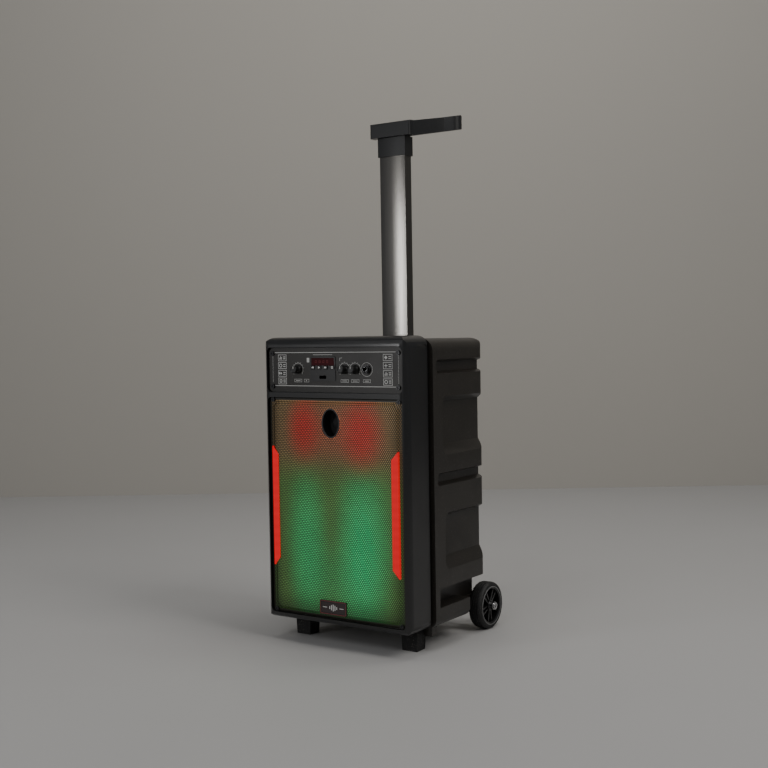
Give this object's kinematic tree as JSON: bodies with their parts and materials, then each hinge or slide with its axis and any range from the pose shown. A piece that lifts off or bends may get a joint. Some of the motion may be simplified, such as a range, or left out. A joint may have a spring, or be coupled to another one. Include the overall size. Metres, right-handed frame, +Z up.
{
  "type": "trolley party speaker",
  "caption": "Tall black trolley speaker with a bowed lit grille, a control panel with knobs, a pull handle, two feet and two rear wheels.",
  "frame": {"origin": "centre of the overall box at floor level, handle pulled out", "axes": "+Z up, -Y towards the grille and the control panel, +X towards the speaker's own left side, which is on the viewer's right"},
  "size_m": [0.3082, 0.289, 0.8639],
  "materials": {
    "black_moulding": "semi-gloss injection moulding",
    "cabinet_plastic": "fine textured moulding",
    "panel_plastic": "satin printed panel",
    "black_rubber": "matte",
    "tyre_rubber": "matte, fine tread",
    "zinc_screw": "zinc plated",
    "grille_steel": "black powder coat, perforated",
    "cloth": "acoustic cloth, lit from behind",
    "badge": "printed plate",
    "red_diffuser": "translucent red, lit",
    "board_white": "white solder resist",
    "board_green": "green solder resist",
    "cone_paper": "pressed black paper",
    "magnet": "ferrite and plated steel",
    "basket_steel": "black paint",
    "display": "dark red tinted window",
    "button_plastic": "gloss black with white icons",
    "pot_metal": "zinc plated",
    "plated_metal": "nickel plated",
    "aluminium": "mill finish",
    "battery_case": "moulded case",
    "wire": "insulated lead",
    "switch_red": "gloss rocker",
    "axle_steel": "bright drawn bar",
    "guide_steel": "galvanised",
    "tube_metal": "dark satin coat"
  },
  "bodies": {
    "cabinet": {"front_frame": "black_moulding", "rear_cabinet": "cabinet_plastic", "seam_gasket": "black_rubber", "cabinet_screws": "zinc_screw", "grille": "grille_steel", "grille_cloth": "cloth", "grille_screws": "zinc_screw", "badge_plate": "badge", "light_strip_left": "red_diffuser", "light_strip_right": "red_diffuser", "led_boards": "board_white", "tweeter_bezel": "black_moulding", "tweeter": "black_moulding", "woofer_basket": "basket_steel", "woofer_surround": "black_rubber", "woofer_cone": "cone_paper", "woofer_magnet": "magnet", "woofer_screws": "zinc_screw", "control_panel": "panel_plastic", "panel_screws": "zinc_screw", "player_module": "black_moulding", "display_window": "display", "potentiometers": "pot_metal", "mic_jack": "plated_metal", "main_board": "board_green", "amplifier_board": "board_green", "heat_sink": "aluminium", "battery_pack": "battery_case", "battery_strap": "zinc_screw", "wiring": "wire", "inlet_plate": "black_moulding", "charge_inlet": "black_moulding", "foot_left": "black_rubber", "foot_right": "black_rubber", "foot_screws": "zinc_screw", "axle": "axle_steel", "axle_clips": "zinc_screw", "guide_tube": "guide_steel", "guide_bezel": "black_moulding"},
    "volume_knob": {"volume_knob": "black_moulding", "volume_shaft": "plated_metal"},
    "echo_knob": {"echo_knob": "black_moulding", "echo_shaft": "plated_metal"},
    "tone_knob": {"tone_knob": "black_moulding", "tone_shaft": "plated_metal"},
    "play_button": {"play_button": "button_plastic"},
    "previous_button": {"previous_button": "button_plastic"},
    "next_button": {"next_button": "button_plastic"},
    "mode_button": {"mode_button": "button_plastic"},
    "power_switch": {"power_switch": "switch_red"},
    "left_wheel": {"wheel_left": "black_moulding", "tyre_left": "tyre_rubber", "hub_cap_left": "plated_metal"},
    "right_wheel": {"wheel_right": "black_moulding", "tyre_right": "tyre_rubber", "hub_cap_right": "plated_metal"},
    "handle": {"handle_tube": "tube_metal", "handle_collar": "black_moulding", "handle_grip": "black_moulding", "tube_slider": "cabinet_plastic"}
  },
  "joints": [
    {"name": "volume_turn", "type": "hinge", "parent": "cabinet", "child": "volume_knob", "pos_m": [-0.0705, -0.1375, 0.4408], "axis": [0, 1, 0], "range_deg": [-150, 150]},
    {"name": "echo_turn", "type": "hinge", "parent": "cabinet", "child": "echo_knob", "pos_m": [0.0215, -0.1375, 0.4408], "axis": [0, 1, 0], "range_deg": [-150, 150]},
    {"name": "tone_turn", "type": "hinge", "parent": "cabinet", "child": "tone_knob", "pos_m": [0.0415, -0.1375, 0.4408], "axis": [0, 1, 0], "range_deg": [-150, 150]},
    {"name": "previous_press", "type": "slide", "parent": "cabinet", "child": "previous_button", "axis": [0, 1, 0], "range_m": [0, 0.001], "stiffness_N_per_m": 800, "springref_m": -0.0012},
    {"name": "play_press", "type": "slide", "parent": "cabinet", "child": "play_button", "axis": [0, 1, 0], "range_m": [0, 0.001], "stiffness_N_per_m": 800, "springref_m": -0.0012},
    {"name": "next_press", "type": "slide", "parent": "cabinet", "child": "next_button", "axis": [0, 1, 0], "range_m": [0, 0.001], "stiffness_N_per_m": 800, "springref_m": -0.0012},
    {"name": "mode_press", "type": "slide", "parent": "cabinet", "child": "mode_button", "axis": [0, 1, 0], "range_m": [0, 0.001], "stiffness_N_per_m": 800, "springref_m": -0.0012},
    {"name": "power_rock", "type": "hinge", "parent": "cabinet", "child": "power_switch", "pos_m": [-0.081, 0.0845, 0.136], "axis": [0, 0, 1], "range_deg": [0, 14]},
    {"name": "left_wheel_spin", "type": "hinge", "parent": "cabinet", "child": "left_wheel", "pos_m": [-0.135, 0.1025, 0.039], "axis": [1, 0, 0], "continuous": true},
    {"name": "right_wheel_spin", "type": "hinge", "parent": "cabinet", "child": "right_wheel", "pos_m": [0.135, 0.1025, 0.039], "axis": [1, 0, 0], "continuous": true},
    {"name": "handle_slide", "type": "slide", "parent": "cabinet", "child": "handle", "axis": [0, 0, 1], "range_m": [-0.298, 0]}
  ]
}
